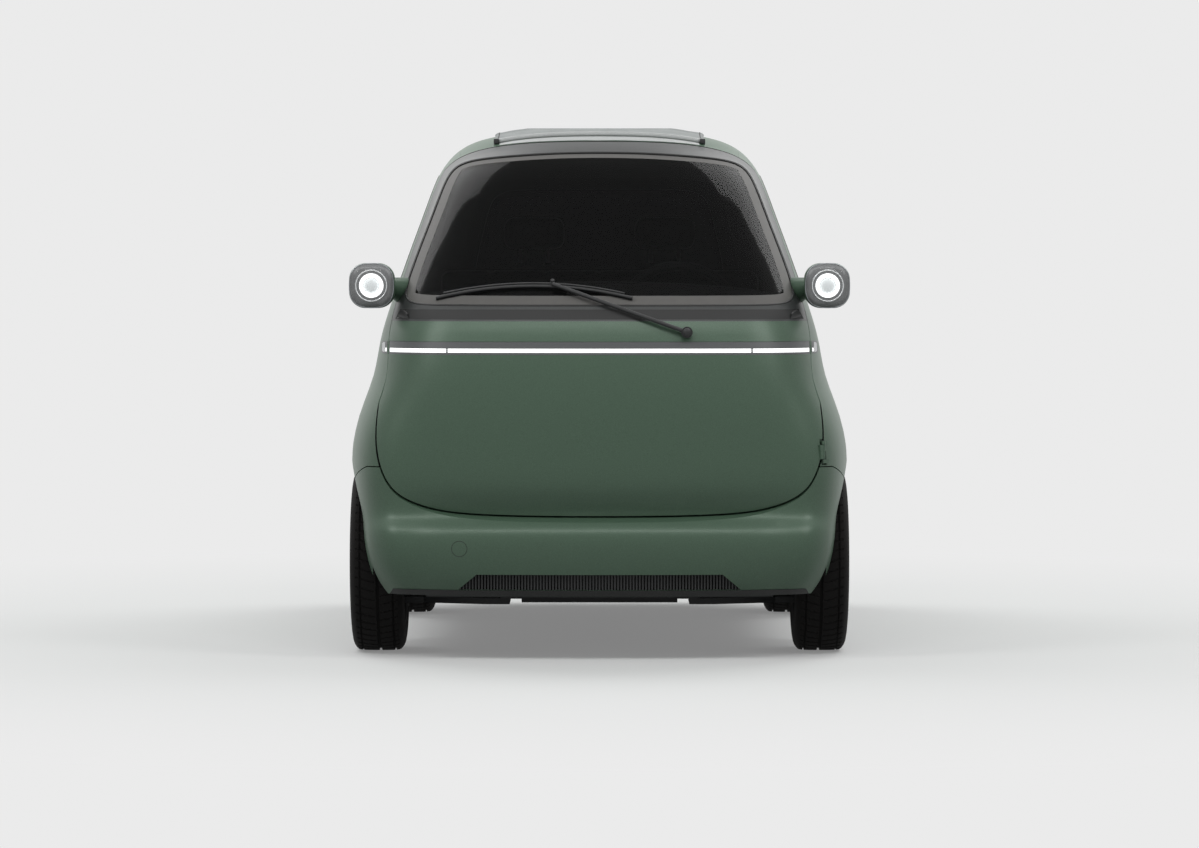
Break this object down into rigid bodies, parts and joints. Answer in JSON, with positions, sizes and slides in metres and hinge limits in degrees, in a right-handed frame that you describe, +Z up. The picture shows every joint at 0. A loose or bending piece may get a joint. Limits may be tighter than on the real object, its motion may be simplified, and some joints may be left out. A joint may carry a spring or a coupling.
{
  "type": "two-seat electric microcar",
  "caption": "Small electric car for two with a full-width front door that holds the windscreen, lamp pods on stalks, a light bar, a fabric sunroof and a tailgate.",
  "frame": {"origin": "on the ground, under the middle of the car's length and width", "axes": "+Z up, the front of the car faces -Y, the car's left side is at +X"},
  "size_m": [1.4508, 2.5258, 1.535],
  "materials": {
    "body_paint": "satin",
    "frame_paint": "satin",
    "glass": "clear",
    "tyre": "matte",
    "rim": "satin",
    "black_plastic": "matte",
    "lamp": "gloss",
    "red_lamp": "gloss",
    "fabric": "matte",
    "steel": "satin"
  },
  "bodies": {
    "body": {"side_panel_left": "body_paint", "side_panel_right": "body_paint", "front_bumper": "body_paint", "rear_bumper": "body_paint", "roof_panel": "body_paint", "side_window_left": "glass", "side_window_right": "glass", "sunroof": "fabric", "front_grille": "black_plastic", "floor_pan": "steel", "wheel_housings": "black_plastic", "luggage_floor": "fabric", "front_arms": "steel", "front_struts": "steel", "steering_rack": "steel", "rear_axle": "steel", "drive_unit": "steel", "battery_block": "steel", "seat_cushion": "fabric", "seat_back": "fabric", "head_restraints": "fabric", "steering_column": "black_plastic", "lamp_pod_left": "body_paint", "lamp_pod_right": "body_paint", "belt_anchors": "steel"},
    "front_door": {"door_panel": "body_paint", "door_frame": "frame_paint", "windscreen": "glass", "light_bar": "lamp", "dashboard": "black_plastic", "wiper": "black_plastic"},
    "tailgate": {"tailgate": "body_paint", "rear_window": "glass", "tail_lamp_bar": "red_lamp"},
    "steering_wheel": {"steering_wheel": "black_plastic"},
    "knuckle_left": {"knuckle_left": "steel"},
    "knuckle_right": {"knuckle_right": "steel"},
    "wheel_front_left": {"tyre_front_left": "tyre", "rim_front_left": "rim"},
    "wheel_front_right": {"tyre_front_right": "tyre", "rim_front_right": "rim"},
    "wheel_rear_left": {"tyre_rear_left": "tyre", "rim_rear_left": "rim"},
    "wheel_rear_right": {"tyre_rear_right": "tyre", "rim_rear_right": "rim"}
  },
  "joints": [
    {"name": "front_door_hinge", "type": "hinge", "parent": "body", "child": "front_door", "pos_m": [0.64, -1.131, 0.594], "axis": [0, 0, 1], "range_deg": [0, 80]},
    {"name": "tailgate_hinge", "type": "hinge", "parent": "body", "child": "tailgate", "pos_m": [0, 0.622, 1.422], "axis": [1, 0, 0], "range_deg": [0, 75]},
    {"name": "steering_left", "type": "hinge", "parent": "body", "child": "knuckle_left", "pos_m": [0.575, -0.79, 0.165], "axis": [-0.1699, 0, 0.9855], "range_deg": [-28, 28]},
    {"name": "steering_right", "type": "hinge", "parent": "body", "child": "knuckle_right", "pos_m": [-0.575, -0.79, 0.165], "axis": [0.1699, 0, 0.9855], "range_deg": [-28, 28]},
    {"name": "steering_wheel_turn", "type": "hinge", "parent": "body", "child": "steering_wheel", "pos_m": [0.235, -0.47, 0.975], "axis": [0, 0.8829, 0.4695], "range_deg": [-364, 364]},
    {"name": "wheel_front_left_spin", "type": "hinge", "parent": "knuckle_left", "child": "wheel_front_left", "pos_m": [0.643, -0.79, 0.2665], "axis": [1, 0, 0], "continuous": true},
    {"name": "wheel_front_right_spin", "type": "hinge", "parent": "knuckle_right", "child": "wheel_front_right", "pos_m": [-0.643, -0.79, 0.2665], "axis": [1, 0, 0], "continuous": true},
    {"name": "wheel_rear_left_spin", "type": "hinge", "parent": "body", "child": "wheel_rear_left", "pos_m": [0.611, 0.776, 0.2665], "axis": [1, 0, 0], "continuous": true},
    {"name": "wheel_rear_right_spin", "type": "hinge", "parent": "body", "child": "wheel_rear_right", "pos_m": [-0.611, 0.776, 0.2665], "axis": [1, 0, 0], "continuous": true}
  ],
  "couplings": [
    {"joint": "steering_right", "follows": "steering_left", "ratio": 1},
    {"joint": "steering_wheel_turn", "follows": "steering_left", "ratio": 13}
  ]
}
